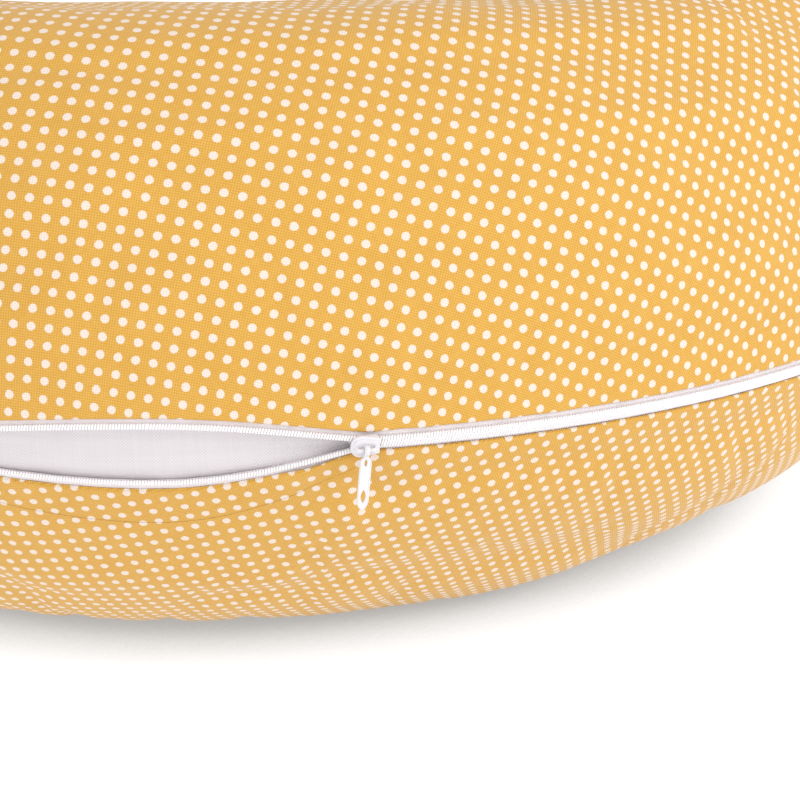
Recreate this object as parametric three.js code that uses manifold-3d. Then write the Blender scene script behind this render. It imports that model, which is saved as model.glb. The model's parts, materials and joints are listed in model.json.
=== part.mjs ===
// A C-shaped nursing pillow: a zipped cotton cover over an inner cushion, with the zip part open.
// Millimetres. The ground is z = 0, the C bends round the Z axis, and its front is towards -Y.

import Module from 'manifold-3d';
import * as THREE from 'three';
import { mergeVertices } from 'three/addons/utils/BufferGeometryUtils.js';

const wasm = await Module();
wasm.setup();

const RAD = Math.PI / 180;

// The C in plan
const SEAM_RADIUS = 290;
const INNER_RADIUS = 76;
const STRAIGHT_ANGLE = 45;
const ARM_ANGLE = 120;
const ARM_TAPER = 0.12;
const TIP_LENGTH = 80;

// Its section: arcs from the outer seam to the inner one, turning from the first angle to the last
const SEAM_HEIGHT = 92;
const INNER_SEAM_DROP = 8;
const TOP_TURNS = [0, 27, 84, 112, 172];
const TOP_RADII = [165, 60];
const BOTTOM_TURNS = [23, 64, 95, 172];
const BOTTOM_RADII = [175];

// Layers, from the outside in
const COVER = 0.8;
const LINER = 0.6;
const GAP = 0.3;
const SEAM_GAP = 0.3;

// The zip, as angles round the outer seam, and its parts
const ZIP_START = -24;
const ZIP_END = 44;
const SLIDER_ANGLE = 11.6;
const MOUTH_ANGLE = 0;
const MOUTH_UPPER = 5.9;
const MOUTH_LOWER = 11.6;
const TAPE_EDGE = 0.9;
const TAPE_WIDTH = 8.3;
const TAPE = 0.5;
const COIL_INNER = 0.1;
const COIL_WIDTH = 1.85;
const COIL_HEIGHT = 1.15;
const TACK_LENGTH = 1.5;
const TACK_HEIGHT = 1.7;

// The slider and its pull
const SLIDER_LENGTH = 8.1;
const SLIDER_HALF = 3.3;
const SLIDER_PLATE = 1.1;
const UNDER_PLATE = 0.8;
const UNDER_HALF = 2.6;
const FLANGE = 0.4;
const POST_HALF = 0.4;
const CROWN_WIRE = 0.5;
const CROWN_HALF = 2.7;
const EYE_WALL = 0.75;
const EYE_WIDTH = 1.5;
const PULL_LENGTH = 17.3;
const PULL_HALF = 1.65;
const PULL_THICK = 1.1;
const PULL_LEAN = 5;

// Sizes that follow from those above
const TAPE_DEPTH = COVER + GAP;
const COIL_DEPTH = TAPE_DEPTH - GAP - COIL_HEIGHT;
const RIDGE = (TOP_TURNS[0] - BOTTOM_TURNS[0]) / 2;
const MITRE = 9;
const SLIDER_TOP = COIL_DEPTH - GAP;
const UNDER_TOP = TAPE_DEPTH + TAPE + 1.05;
const POCKET = UNDER_TOP + UNDER_PLATE + GAP + 0.45 - TAPE_DEPTH;
const POCKET_FULL = 22;
const POCKET_END = 50;
const EYE_HOLE = CROWN_WIRE + GAP;
const CROWN_HEIGHT = SLIDER_PLATE + GAP + EYE_HOLE + EYE_WALL;
const FLANGE_ACROSS = COIL_INNER + COIL_WIDTH + GAP + 0.05;
const SLOT_ROOM = 0.3;
const SLOT_HALF = FLANGE_ACROSS + FLANGE + SLOT_ROOM;

// How many steps the round shapes are made in
const ZIP_STEP = 4;
const ARM_STEP = 11;
const TIP_STEPS = 4;
const ARC_STEP = 45;
const COIL_SIDES = 8;

// ---- Solids ----

function positions(geometry) {
  geometry.deleteAttribute('normal');
  geometry.deleteAttribute('uv');
  return mergeVertices(geometry, 1e-4);
}

function signedVolume(points, faces) {
  const a = new THREE.Vector3();
  const b = new THREE.Vector3();
  const c = new THREE.Vector3();
  let total = 0;
  for (let i = 0; i < faces.length; i += 3) {
    a.fromArray(points, 3 * faces[i]);
    b.fromArray(points, 3 * faces[i + 1]);
    c.fromArray(points, 3 * faces[i + 2]);
    total += a.dot(b.cross(c));
  }
  return total / 6;
}

function solid(geometry) {
  const merged = positions(geometry);
  const points = merged.attributes.position.array;
  const index = merged.index.array;
  const faces = [];
  for (let i = 0; i < index.length; i += 3) {
    const [a, b, c] = [index[i], index[i + 1], index[i + 2]];
    if (a !== b && b !== c && c !== a) faces.push(a, b, c);
  }
  if (signedVolume(points, faces) < 0) faces.reverse();
  return new wasm.Manifold(new wasm.Mesh({
    numProp: 3,
    vertProperties: new Float32Array(points),
    triVerts: new Uint32Array(faces),
  }));
}

function placed(geometry, group) {
  group.updateWorldMatrix(true, false);
  return geometry.applyMatrix4(group.matrixWorld);
}

// A closed solid through rings of points; the first and last rings close on themselves. Sides from
// turnedFrom on run backwards, so they are split along the other diagonal to lie parallel to the rest.
function loft(rings, turnedFrom = Infinity) {
  const sides = rings[0].length;
  const index = [];
  for (let j = 0; j + 1 < rings.length; j++) {
    for (let i = 0; i < sides; i++) {
      const next = (i + 1) % sides;
      const [a, b, c, d] = [j * sides + i, j * sides + next, (j + 1) * sides + next, (j + 1) * sides + i];
      index.push(...(i < turnedFrom ? [a, b, c, a, c, d] : [a, b, d, b, c, d]));
    }
  }
  const geometry = new THREE.BufferGeometry().setFromPoints(rings.flat());
  return solid(geometry.setIndex(index));
}

function endPoint(ring) {
  const centre = new THREE.Vector3();
  ring.forEach((point) => centre.addScaledVector(point, 1 / ring.length));
  return ring.map(() => centre);
}

function loftWithEnds(rings) {
  return loft([endPoint(rings[0]), ...rings, endPoint(rings.at(-1))]);
}

// ---- The section's arcs ----

// The last two radii are the ones that bring the chain to the inner seam.
function arcChain(turns, radii, rise) {
  const across = (i) => Math.cos(turns[i] * RAD) - Math.cos(turns[i + 1] * RAD);
  const up = (i) => Math.sin(turns[i + 1] * RAD) - Math.sin(turns[i] * RAD);
  let width = SEAM_RADIUS - INNER_RADIUS;
  let height = rise;
  radii.forEach((radius, i) => {
    width -= radius * across(i);
    height -= radius * up(i);
  });
  const p = radii.length;
  const q = p + 1;
  const scale = across(p) * up(q) - across(q) * up(p);
  const last = (across(p) * height - up(p) * width) / scale;
  const before = (width * up(q) - height * across(q)) / scale;
  const arcs = [];
  let arc = { start: 0, inward: 0, up: 0 };
  [...radii, before, last].forEach((radius, i) => {
    const turn = (turns[i + 1] - turns[i]) * RAD;
    arcs.push({ ...arc, radius, from: turns[i] * RAD, end: arc.start + radius * turn });
    arc = {
      start: arc.start + radius * turn,
      inward: arc.inward + radius * across(i),
      up: arc.up + radius * up(i),
    };
  });
  return { arcs, length: arc.start };
}

const TOP = arcChain(TOP_TURNS, TOP_RADII, -INNER_SEAM_DROP);
const BOTTOM = arcChain(BOTTOM_TURNS, BOTTOM_RADII, INNER_SEAM_DROP);
const chainOf = (side) => (side > 0 ? TOP : BOTTOM);

function chainPoint(chain, s) {
  const arc = chain.arcs.find((a) => s <= a.end) ?? chain.arcs.at(-1);
  const angle = arc.from + (s - arc.start) / arc.radius;
  return {
    inward: arc.inward + arc.radius * (Math.cos(arc.from) - Math.cos(angle)),
    up: arc.up + arc.radius * (Math.sin(angle) - Math.sin(arc.from)),
    angle,
  };
}

// The weight flattens the underside between these two distances from the outer seam.
function groundRows() {
  const pressed = steps(0, BOTTOM.length, 0.5).filter((s) => chainPoint(BOTTOM, s).up >= SEAM_HEIGHT);
  return [pressed[0], pressed.at(-1)];
}

// Distances from the outer seam at which a layer has a row of points
function chainRows(chain) {
  const rows = [0, MITRE, POCKET_FULL, POCKET_END];
  for (const arc of chain.arcs) {
    const steps = Math.ceil((arc.end - arc.start) / ARC_STEP);
    for (let i = 1; i <= steps; i++) {
      const s = arc.start + (i / steps) * (arc.end - arc.start);
      if (s > POCKET_END + ARC_STEP / 3) rows.push(s);
    }
  }
  if (chain === BOTTOM) rows.push(...groundRows());
  return rows.sort((a, b) => a - b);
}

// ---- The skin ----

const smooth = (t) => {
  const x = Math.min(1, Math.max(0, t));
  return x * x * (3 - 2 * x);
};

function sectionScale(angle) {
  const along = (Math.abs(angle) - STRAIGHT_ANGLE) / (ARM_ANGLE - STRAIGHT_ANGLE);
  return 1 - ARM_TAPER * smooth(along);
}

// A point of the skin. station: an angle round the C and, past the arm's end, how far its tip has closed.
// side: 1 above the seams and -1 below. s: distance from the outer seam. depth: distance under the skin.
function skin(station, side, s, depth, lift = 0) {
  const chain = chainOf(side);
  const point = chainPoint(chain, s);
  const scale = sectionScale(station.angle);
  const outerPull = Math.max(0, 1 - s / MITRE);
  const innerPull = Math.max(0, 1 - (chain.length - s) / MITRE);
  let facing = point.angle + (side * RIDGE * RAD - point.angle) * outerPull;
  facing += (Math.PI - facing) * innerPull;
  const across = -scale * point.inward - depth * Math.cos(facing);
  const rise = side * (scale * point.up - depth * Math.sin(facing));
  const middle = (-scale * (SEAM_RADIUS - INNER_RADIUS)) / 2;
  const middleRise = (-scale * INNER_SEAM_DROP) / 2;
  const closed = Math.cos(station.tip);
  const tipReach = (TIP_LENGTH - depth) * Math.sin(station.tip);
  const tipAngle = Math.sign(station.angle) * tipReach / (SEAM_RADIUS + middle);
  const angle = station.angle * RAD + tipAngle;
  const radius = SEAM_RADIUS + middle + (across - middle) * closed;
  const height = scale * SEAM_HEIGHT + middleRise + (rise - middleRise) * closed + side * lift;
  return new THREE.Vector3(
    radius * Math.sin(angle),
    -radius * Math.cos(angle),
    Math.max(height, depth),
  );
}

function steps(from, to, step) {
  const count = Math.ceil(Math.abs(to - from) / step - 1e-6);
  return Array.from({ length: count + 1 }, (_, i) => from + (i / count) * (to - from));
}

const station = (angle, tip = 0) => ({ angle, tip });
const zipAngles = steps(ZIP_START, ZIP_END, ZIP_STEP);
const tips = steps(0, Math.PI / 2, Math.PI / 2 / TIP_STEPS).slice(1);
const stations = [
  ...tips.toReversed().map((tip) => station(-ARM_ANGLE, tip)),
  ...steps(-ARM_ANGLE, ZIP_START, ARM_STEP).slice(0, -1).map((angle) => station(angle)),
  ...zipAngles.map((angle) => station(angle)),
  ...steps(ZIP_END, ARM_ANGLE, ARM_STEP).slice(1).map((angle) => station(angle)),
  ...tips.map((tip) => station(ARM_ANGLE, tip)),
];

// How much deeper the inner cushion lies behind the zip, where tapes and slider press into it
function pocket(at, s) {
  const outside = Math.max(ZIP_START - at.angle, at.angle - ZIP_END, 0);
  const across = 1 - smooth((s - POCKET_FULL) / (POCKET_END - POCKET_FULL));
  return POCKET * across * (1 - smooth(outside / ARM_STEP));
}

// One of the two sheets that make a bag: a thin shell from the outer seam to the inner one
function panel(side, depth, thickness, pressed) {
  const rows = chainRows(chainOf(side));
  return loft(stations.map((at) => {
    const row = (s, d) => skin(at, side, s, d + (pressed ? pocket(at, s) : 0), SEAM_GAP / 2);
    return [
      ...rows.map((s) => row(s, depth)),
      ...rows.toReversed().map((s) => row(s, depth + thickness)),
    ];
  }), rows.length);
}

function fillingSolid() {
  const depth = COVER + LINER + 2 * GAP;
  const above = chainRows(TOP);
  const below = chainRows(BOTTOM).slice(1, -1).toReversed();
  return loft(stations.map((at) => [
    ...above.map((s) => skin(at, 1, s, depth + pocket(at, s))),
    ...below.map((s) => skin(at, -1, s, depth + pocket(at, s))),
  ]), above.length - 1);
}

// ---- The zip ----

// How far a lip of the zip's mouth stands from the seam line at an angle
function mouth(angle, side) {
  const widest = side > 0 ? MOUTH_UPPER : MOUTH_LOWER;
  if (angle >= SLIDER_ANGLE || angle <= ZIP_START) return 0;
  if (angle >= MOUTH_ANGLE) {
    const share = (SLIDER_ANGLE - angle) / (SLIDER_ANGLE - MOUTH_ANGLE);
    return widest * Math.sin((Math.PI / 2) * share);
  }
  const share = (MOUTH_ANGLE - angle) / (MOUTH_ANGLE - ZIP_START);
  return (widest * (1 + Math.cos(Math.PI * share))) / 2;
}

function seamPoint(angle, s, depth) {
  return skin(station(angle), s < 0 ? -1 : 1, Math.abs(s), depth);
}

function slotSolid() {
  const rings = zipAngles.map((angle) => {
    const above = SLOT_HALF + mouth(angle, 1);
    const below = -SLOT_HALF - mouth(angle, -1);
    const out = [below, 0, above].map((s) => seamPoint(angle, s, -2));
    const back = [above, 0, below].map((s) => seamPoint(angle, s, COVER + GAP / 2));
    return [...out, ...back];
  });
  return loftWithEnds(rings);
}

function tapeSolid(side, angles) {
  return loftWithEnds(angles.map((angle) => {
    const near = mouth(angle, side) + TAPE_EDGE;
    const far = near + TAPE_WIDTH;
    return [
      seamPoint(angle, side * near, TAPE_DEPTH),
      seamPoint(angle, side * far, TAPE_DEPTH),
      seamPoint(angle, side * far, TAPE_DEPTH + TAPE),
      seamPoint(angle, side * near, TAPE_DEPTH + TAPE),
    ];
  }));
}

function coilSolid(side, angles) {
  return loftWithEnds(angles.map((angle) => Array.from({ length: COIL_SIDES }, (_, i) => {
    const turn = ((i + 0.5) / COIL_SIDES) * 2 * Math.PI;
    const s = mouth(angle, side) + COIL_INNER + (COIL_WIDTH / 2) * (1 + Math.cos(turn));
    return seamPoint(angle, side * s, COIL_DEPTH + (COIL_HEIGHT / 2) * (1 + Math.sin(turn)));
  })));
}

const degrees = (length) => length / SEAM_RADIUS / RAD;

function tackSolid(angle, way) {
  const from = angle + way * degrees(GAP);
  const to = from + way * degrees(TACK_LENGTH);
  const half = SLOT_HALF - GAP;
  const low = TAPE_DEPTH - GAP;
  return loftWithEnds([from, to].map((at) => [
    ...[-half, 0, half].map((s) => seamPoint(at, s, low - TACK_HEIGHT)),
    ...[half, 0, -half].map((s) => seamPoint(at, s, low)),
  ]));
}

const coilEnd = degrees(2 * GAP + TACK_LENGTH);
const join = degrees(GAP / 2);
const openAngles = [
  ...zipAngles.filter((angle) => angle < SLIDER_ANGLE - ZIP_STEP / 4),
  SLIDER_ANGLE - join,
];
const closedAngles = [
  SLIDER_ANGLE + join,
  ...zipAngles.filter((angle) => angle > SLIDER_ANGLE + ZIP_STEP / 4),
];
const openCoilAngles = [ZIP_START + coilEnd, ...openAngles.slice(1)];
const closedCoilAngles = [...closedAngles.slice(0, -1), ZIP_END - coilEnd];

// ---- The slider, in a frame on the seam: X along the zip, -Y outward ----

const sliderTurn = new THREE.Group();
sliderTurn.rotation.z = SLIDER_ANGLE * RAD;
const sliderFrame = new THREE.Group();
sliderFrame.position.set(0, -SEAM_RADIUS, SEAM_HEIGHT);
sliderFrame.rotation.x = -RIDGE * RAD;
sliderTurn.add(sliderFrame);

const crownCentre = new THREE.Vector3(0, SLIDER_TOP - CROWN_HEIGHT, 0);
const pullFrame = new THREE.Group();
pullFrame.position.copy(sliderFrame.position);
pullFrame.position.add(crownCentre.clone().applyEuler(sliderFrame.rotation));
pullFrame.rotation.y = PULL_LEAN * RAD;
sliderTurn.add(pullFrame);

// A flat piece drawn in X and Z, standing out from y by its thickness
function standing(shape, y, thickness) {
  const geometry = new THREE.ExtrudeGeometry(shape, {
    depth: thickness,
    bevelEnabled: false,
    curveSegments: 6,
  });
  return geometry.rotateX(Math.PI / 2).translate(0, y, 0);
}

function plateShape(half) {
  const nose = -SLIDER_LENGTH / 2;
  const tail = SLIDER_LENGTH / 2;
  const tailHalf = 0.72 * half;
  const shape = new THREE.Shape();
  shape.moveTo(tail, -tailHalf);
  shape.lineTo(tail, tailHalf);
  shape.lineTo(nose + 0.38 * SLIDER_LENGTH, half);
  shape.bezierCurveTo(nose + 0.1 * SLIDER_LENGTH, half, nose, 0.55 * half, nose, 0);
  shape.bezierCurveTo(nose, -0.55 * half, nose + 0.1 * SLIDER_LENGTH, -half,
    nose + 0.38 * SLIDER_LENGTH, -half);
  shape.closePath();
  return shape;
}

function sliderSolid() {
  const onSlider = (geometry) => solid(placed(geometry, sliderFrame));
  const nose = -SLIDER_LENGTH / 2;
  let body = onSlider(standing(plateShape(SLIDER_HALF), SLIDER_TOP, SLIDER_PLATE));
  const under = standing(plateShape(UNDER_HALF), UNDER_TOP + UNDER_PLATE, UNDER_PLATE);
  body = body.add(onSlider(under));

  const diamond = new THREE.Shape();
  diamond.moveTo(nose + 0.4, 0);
  diamond.lineTo(nose + 1.1, POST_HALF);
  diamond.lineTo(nose + 2.4, 0);
  diamond.lineTo(nose + 1.1, -POST_HALF);
  diamond.closePath();
  const overlap = 0.2;
  const postTop = UNDER_TOP + overlap;
  const post = standing(diamond, postTop, postTop - SLIDER_TOP + overlap);
  body = body.add(onSlider(post));

  const flangeDepth = 1.1;
  const flangeLength = SLIDER_LENGTH / 2 - 0.1;
  for (const way of [1, -1]) {
    const flange = new THREE.BoxGeometry(flangeLength, flangeDepth + overlap, FLANGE);
    const across = FLANGE_ACROSS + FLANGE / 2;
    flange.translate(flangeLength / 2 - 0.4, SLIDER_TOP + (flangeDepth - overlap) / 2, way * across);
    body = body.add(onSlider(flange));
  }

  const bend = 0.7;
  const top = SLIDER_TOP - CROWN_HEIGHT;
  const root = SLIDER_TOP - SLIDER_PLATE / 2;
  const path = new THREE.CurvePath();
  const corner = (x, y) => new THREE.Vector3(x, y, 0);
  path.add(new THREE.LineCurve3(corner(-CROWN_HALF, root), corner(-CROWN_HALF, top + bend)));
  path.add(new THREE.QuadraticBezierCurve3(corner(-CROWN_HALF, top + bend), corner(-CROWN_HALF, top),
    corner(-CROWN_HALF + bend, top)));
  path.add(new THREE.LineCurve3(corner(-CROWN_HALF + bend, top), corner(CROWN_HALF - bend, top)));
  path.add(new THREE.QuadraticBezierCurve3(corner(CROWN_HALF - bend, top), corner(CROWN_HALF, top),
    corner(CROWN_HALF, top + bend)));
  path.add(new THREE.LineCurve3(corner(CROWN_HALF, top + bend), corner(CROWN_HALF, root)));
  const wire = new THREE.Shape();
  wire.absarc(0, 0, CROWN_WIRE, 0, 2 * Math.PI);
  const crown = new THREE.ExtrudeGeometry(wire, { steps: 22, curveSegments: 8, extrudePath: path });
  return body.add(onSlider(crown));
}

function pullSolid() {
  const eyeOuter = EYE_HOLE + EYE_WALL;
  const eye = new THREE.Shape();
  eye.absarc(0, 0, eyeOuter, 0, 2 * Math.PI);
  eye.holes.push(new THREE.Path().absarc(0, 0, EYE_HOLE, 0, 2 * Math.PI, true));
  const ring = new THREE.ExtrudeGeometry(eye, {
    depth: EYE_WIDTH,
    bevelEnabled: false,
    curveSegments: 10,
  });
  ring.translate(0, 0, -EYE_WIDTH / 2).rotateY(Math.PI / 2);

  const neck = EYE_WIDTH / 2;
  const shoulder = -eyeOuter - 1.6;
  const foot = -PULL_LENGTH + 2.6;
  const tab = new THREE.Shape();
  tab.moveTo(neck, -EYE_HOLE - EYE_WALL / 2);
  tab.lineTo(-neck, -EYE_HOLE - EYE_WALL / 2);
  tab.lineTo(-neck, -eyeOuter - 0.3);
  tab.lineTo(-PULL_HALF, shoulder);
  tab.lineTo(-PULL_HALF, foot);
  tab.quadraticCurveTo(-0.8 * PULL_HALF, -PULL_LENGTH + 0.7, 0, -PULL_LENGTH);
  tab.quadraticCurveTo(0.8 * PULL_HALF, -PULL_LENGTH + 0.7, PULL_HALF, foot);
  tab.lineTo(PULL_HALF, shoulder);
  tab.lineTo(neck, -eyeOuter - 0.3);
  tab.closePath();

  const holeHalf = 0.4 * PULL_HALF;
  const holeTop = foot + 3.4;
  const holeFoot = foot - 0.4;
  const hole = new THREE.Path();
  hole.moveTo(0, holeTop);
  hole.quadraticCurveTo(2 * holeHalf, (holeTop + holeFoot) / 2, 0, holeFoot);
  hole.quadraticCurveTo(-2 * holeHalf, (holeTop + holeFoot) / 2, 0, holeTop);
  tab.holes.push(hole);

  const plate = standing(tab, PULL_THICK / 2, PULL_THICK);
  return solid(placed(ring, pullFrame)).add(solid(placed(plate, pullFrame)));
}

// ---- The assembly ----

const COTTON = { color: 0xe3a94c, roughness: 0.9, metalness: 0 };
const TICKING = { color: 0xe6e2e2, roughness: 0.92, metalness: 0 };
const WADDING = { color: 0xf4f2ee, roughness: 1, metalness: 0 };
const ZIP_TAPE = { color: 0xdcd6dc, roughness: 0.85, metalness: 0 };
const ZIP_COIL = { color: 0xf0edf0, roughness: 0.45, metalness: 0 };
const ENAMEL = { color: 0xeeebe9, roughness: 0.3, metalness: 0.1 };

function mesh(name, body, look) {
  const { vertProperties, triVerts, numProp } = body.getMesh();
  const geometry = new THREE.BufferGeometry();
  const points = new THREE.InterleavedBuffer(vertProperties, numProp);
  geometry.setAttribute('position', new THREE.InterleavedBufferAttribute(points, 3, 0));
  geometry.setIndex(new THREE.BufferAttribute(triVerts, 1));
  const piece = new THREE.Mesh(geometry, new THREE.MeshStandardMaterial(look));
  piece.name = name;
  return piece;
}

const slot = slotSolid();
const linerDepth = COVER + GAP;

const pillow = new THREE.Group();
pillow.add(
  mesh('cover_top_panel', panel(1, 0, COVER, false).subtract(slot), COTTON),
  mesh('cover_bottom_panel', panel(-1, 0, COVER, false).subtract(slot), COTTON),
  mesh('liner_top_panel', panel(1, linerDepth, LINER, true), TICKING),
  mesh('liner_bottom_panel', panel(-1, linerDepth, LINER, true), TICKING),
  mesh('fibre_filling', fillingSolid(), WADDING),
  mesh('upper_tape_open', tapeSolid(1, openAngles), ZIP_TAPE),
  mesh('lower_tape_open', tapeSolid(-1, openAngles), ZIP_TAPE),
  mesh('upper_tape_closed', tapeSolid(1, closedAngles), ZIP_TAPE),
  mesh('lower_tape_closed', tapeSolid(-1, closedAngles), ZIP_TAPE),
  mesh('upper_coil_open', coilSolid(1, openCoilAngles), ZIP_COIL),
  mesh('lower_coil_open', coilSolid(-1, openCoilAngles), ZIP_COIL),
  mesh('upper_coil_closed', coilSolid(1, closedCoilAngles), ZIP_COIL),
  mesh('lower_coil_closed', coilSolid(-1, closedCoilAngles), ZIP_COIL),
  mesh('start_bartack', tackSolid(ZIP_START, 1), ZIP_COIL),
  mesh('end_bartack', tackSolid(ZIP_END, -1), ZIP_COIL),
  mesh('slider_body', sliderSolid(), ENAMEL),
  mesh('pull_tab', pullSolid(), ENAMEL),
);

// The frame's origin is on the ground below the middle of the whole pillow.
const box = new THREE.Box3().setFromObject(pillow);
pillow.position.y = -(box.min.y + box.max.y) / 2;

export default pillow;
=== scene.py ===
"""Nursing pillow: a dotted cotton cover with an open coil zip, over a ticking inner cushion."""

import json
import math

import bmesh
import bpy
import numpy as np
from mathutils import Matrix, Vector


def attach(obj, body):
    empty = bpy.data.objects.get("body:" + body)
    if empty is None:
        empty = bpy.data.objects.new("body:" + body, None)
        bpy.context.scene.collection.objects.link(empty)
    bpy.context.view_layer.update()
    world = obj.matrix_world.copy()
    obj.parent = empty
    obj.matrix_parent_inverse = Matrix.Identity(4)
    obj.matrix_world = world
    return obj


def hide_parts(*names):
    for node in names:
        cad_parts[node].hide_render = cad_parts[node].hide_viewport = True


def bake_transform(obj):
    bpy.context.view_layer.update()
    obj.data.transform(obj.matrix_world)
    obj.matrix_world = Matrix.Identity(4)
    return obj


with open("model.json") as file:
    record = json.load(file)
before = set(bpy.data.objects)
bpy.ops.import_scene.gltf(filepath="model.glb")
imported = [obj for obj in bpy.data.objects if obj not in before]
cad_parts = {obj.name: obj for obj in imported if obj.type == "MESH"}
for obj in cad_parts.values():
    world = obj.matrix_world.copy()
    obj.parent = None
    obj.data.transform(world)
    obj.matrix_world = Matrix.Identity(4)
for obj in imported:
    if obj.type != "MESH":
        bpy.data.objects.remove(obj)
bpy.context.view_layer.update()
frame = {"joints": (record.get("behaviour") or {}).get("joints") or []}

MM = 0.001
RAD = math.pi / 180

# ---- The pillow's own sizes, in metres and degrees, as the CAD has them ----

travel = next(joint for joint in frame["joints"] if joint["name"] == "zip_travel")
CENTRE = np.array([travel["pos_m"][0], travel["pos_m"][1], 0.0])
SEAM_HEIGHT = travel["pos_m"][2]
SEAM_RADIUS = 290 * MM
INNER_RADIUS = 76 * MM
INNER_SEAM_DROP = 8 * MM
STRAIGHT_ANGLE = 45
ARM_ANGLE = 120
ARM_TAPER = 0.12
TIP_LENGTH = 80 * MM
TOP_TURNS = (0, 27, 84, 112, 172)
TOP_RADII = (165 * MM, 60 * MM)
BOTTOM_TURNS = (23, 64, 95, 172)
BOTTOM_RADII = (175 * MM,)
RIDGE = (TOP_TURNS[0] - BOTTOM_TURNS[0]) / 2
MITRE = 9 * MM

COVER = 0.8 * MM
ZIP_START = -24
ZIP_END = 44
SLIDER_ANGLE = 11.6
MOUTH_ANGLE = 0
MOUTH_WIDEST = {1: 5.9 * MM, -1: 11.6 * MM}
LIP_BARE = {1: 0.0, -1: 1.2 * MM}
SLOT_HALF = 3.0 * MM
GAP = 0.3 * MM
SEAM_GAP = 0.3 * MM
LINER = 0.6 * MM
LINER_SEAM = 17 * MM
LINER_SLACK = 0.6 * MM
FILLING_DEPTH = 2.4 * MM
POCKET = 2.2 * MM
TAPE_POCKET = 0.4 * MM
POCKET_FULL = 22 * MM
POCKET_END = 50 * MM
TAPE_EDGE = 0.9 * MM
TAPE = 0.5 * MM
TAPE_DEPTH = 1.1 * MM
TAPE_BOUND = 0.45 * MM
TAPE_WIDTH = 8.3
COIL_DEPTH = -0.35 * MM
COIL_INNER = 0.1 * MM
COIL_WIDTH = 1.85 * MM
COIL_HEIGHT = 1.15 * MM
COIL_PITCH = 0.8 * MM
COIL_WIRE = 0.385 * MM
COIL_LEAN = 0.22
COIL_MESH = 0.55 * MM
STITCH_PITCH = 0.42 * MM
STITCH_HEIGHT = 0.45 * MM
STITCH_WIRE = 0.22 * MM
TACK_LENGTH = 1.5 * MM

# Fabric
DOT_PITCH = 4.8 * MM
DOT_RADIUS = 1.18 * MM
DOT_BLUR = 0.03
# A real poplin or ticking thread is about half as thick: these are coarse enough to show
THREAD = 0.5 * MM
TAPE_THREAD = 0.3 * MM
PANEL_SHARE = 0.66
PRINT_TURN_TOP = -10
PRINT_TURN_BOTTOM = -13

# Slider and pull, in millimetres
SLIDER_LENGTH = 8.1
SLIDER_HALF = 3.3
SLIDER_PLATE = 1.1
SLIDER_TOP = -0.65
UNDER_TOP = 2.65
UNDER_PLATE = 0.8
UNDER_HALF = 2.6
FLANGE = 0.4
POST_HALF = 0.4
CROWN_WIRE = 0.5
CROWN_HALF = 2.7
EYE_HOLE = 0.8
EYE_WALL = 0.75
EYE_WIDTH = 1.5
CROWN_HEIGHT = SLIDER_PLATE + GAP / MM + EYE_HOLE + EYE_WALL
PULL_LENGTH = 17.3
PULL_HALF = 1.65
PULL_THICK = 1.1
PULL_LEAN = 5


# ---- Camera, light and floor ----

CAMERA_DISTANCE = 485 * MM
CAMERA_ELEVATION = 18.7
CAMERA_LENS = 82
AIM_RIGHT = 68 * MM
AIM_UP = 14.6 * MM
SENSOR = 36

# Each light's place, what it points at, its size and its power
LIGHTS = {
    "key": ((1.3, -0.8, 1.0), (0.05, -0.15, 0.1), 1.0, 13),
    "fill": ((-0.7, -1.5, 0.3), (0, -0.2, 0.04), 1.0, 5),
}
SKY = 0.8
FLOOR_SIZE = 60
FLOOR_DROP = 0.3 * MM
SHADOW_REACH = 70 * MM


def make_camera():
    aim = Vector(CENTRE) + Vector((AIM_RIGHT, -SEAM_RADIUS, SEAM_HEIGHT + AIM_UP))
    tilt = CAMERA_ELEVATION * RAD
    back = Vector((0, -math.cos(tilt), math.sin(tilt)))
    data = bpy.data.cameras.new("camera")
    data.lens = CAMERA_LENS
    data.sensor_width = SENSOR
    data.clip_start = 0.01
    camera = bpy.data.objects.new("camera", data)
    camera.location = aim + back * CAMERA_DISTANCE
    camera.rotation_mode = "QUATERNION"
    camera.rotation_quaternion = (-back).to_track_quat("-Z", "Y")
    bpy.context.scene.collection.objects.link(camera)
    bpy.context.scene.camera = camera


def area_light(name, place, target, size, power):
    data = bpy.data.lights.new(name, "AREA")
    data.shape = "DISK"
    data.size = size
    data.energy = power
    light = bpy.data.objects.new(name, data)
    light.location = place
    direction = Vector(target) - Vector(place)
    light.rotation_euler = direction.to_track_quat("-Z", "Y").to_euler()
    bpy.context.scene.collection.objects.link(light)


def linear(hex_colour):
    """An sRGB hex colour as linear RGBA."""
    parts = [int(hex_colour[i:i + 2], 16) / 255 for i in (1, 3, 5)]
    return [p / 12.92 if p <= 0.04045 else ((p + 0.055) / 1.055) ** 2.4 for p in parts] + [1.0]


def make_stage():
    scene = bpy.context.scene
    scene.view_settings.view_transform = "Standard"
    world = bpy.data.worlds.new("soft_studio")
    scene.world = world
    world.use_nodes = True
    background = world.node_tree.nodes["Background"]
    background.inputs["Color"].default_value = linear("#fbfbfc")
    background.inputs["Strength"].default_value = SKY
    for name, settings in LIGHTS.items():
        area_light(name, *settings)

    bpy.ops.mesh.primitive_plane_add(size=FLOOR_SIZE, location=(0, 0, -FLOOR_DROP))
    floor = bpy.context.object
    floor.name = "studio_floor"
    floor.data.materials.append(glowing_floor_painted_shadow())


# ---- Materials ----

def node(tree, kind, settings=None, **inputs):
    """Adds a node. settings are its properties; inputs are values or another node's output."""
    made = tree.nodes.new(kind)
    for key, value in (settings or {}).items():
        setattr(made, key, value)
    for key, value in inputs.items():
        name = key.replace("_", " ")
        socket = made.inputs[int(key[1:])] if key[0] == "i" and key[1:].isdigit() else made.inputs[name]
        if isinstance(value, bpy.types.NodeSocket):
            tree.links.new(value, socket)
        else:
            socket.default_value = value
    return made


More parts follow.
